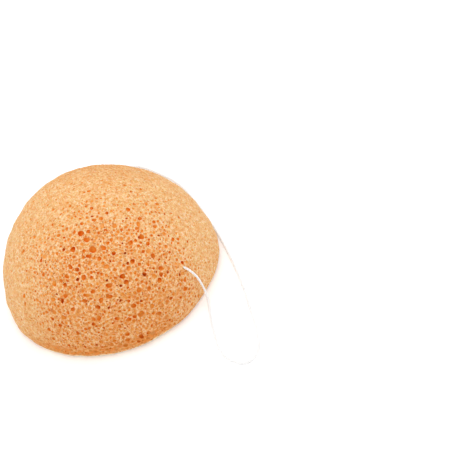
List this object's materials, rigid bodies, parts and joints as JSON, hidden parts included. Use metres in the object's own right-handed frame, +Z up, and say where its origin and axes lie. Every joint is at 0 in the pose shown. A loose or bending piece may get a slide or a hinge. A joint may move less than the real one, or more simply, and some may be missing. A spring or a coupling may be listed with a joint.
{
  "type": "konjac sponge",
  "caption": "Half-ball konjac facial sponge of soft porous plant foam, with a knotted cotton hanging cord threaded through its side.",
  "frame": {"origin": "middle of the flat face that the sponge lies on", "axes": "+Z up along the dome's axis, -Y towards the open loop's bend, and +X towards the side where the cord comes out of its tunnel's front mouth"},
  "size_m": [0.0781, 0.1158, 0.042],
  "materials": {
    "konjac_foam": "matte open-cell foam, pale peach walls with deep orange pores",
    "cotton_cord": "matte white twisted cotton"
  },
  "bodies": {
    "root": {"sponge_body": "konjac_foam", "cord_in_sponge": "cotton_cord", "cord_loop": "cotton_cord", "cord_return": "cotton_cord", "cord_knot": "cotton_cord", "cord_tail_long": "cotton_cord", "cord_tail_short": "cotton_cord"}
  },
  "joints": []
}
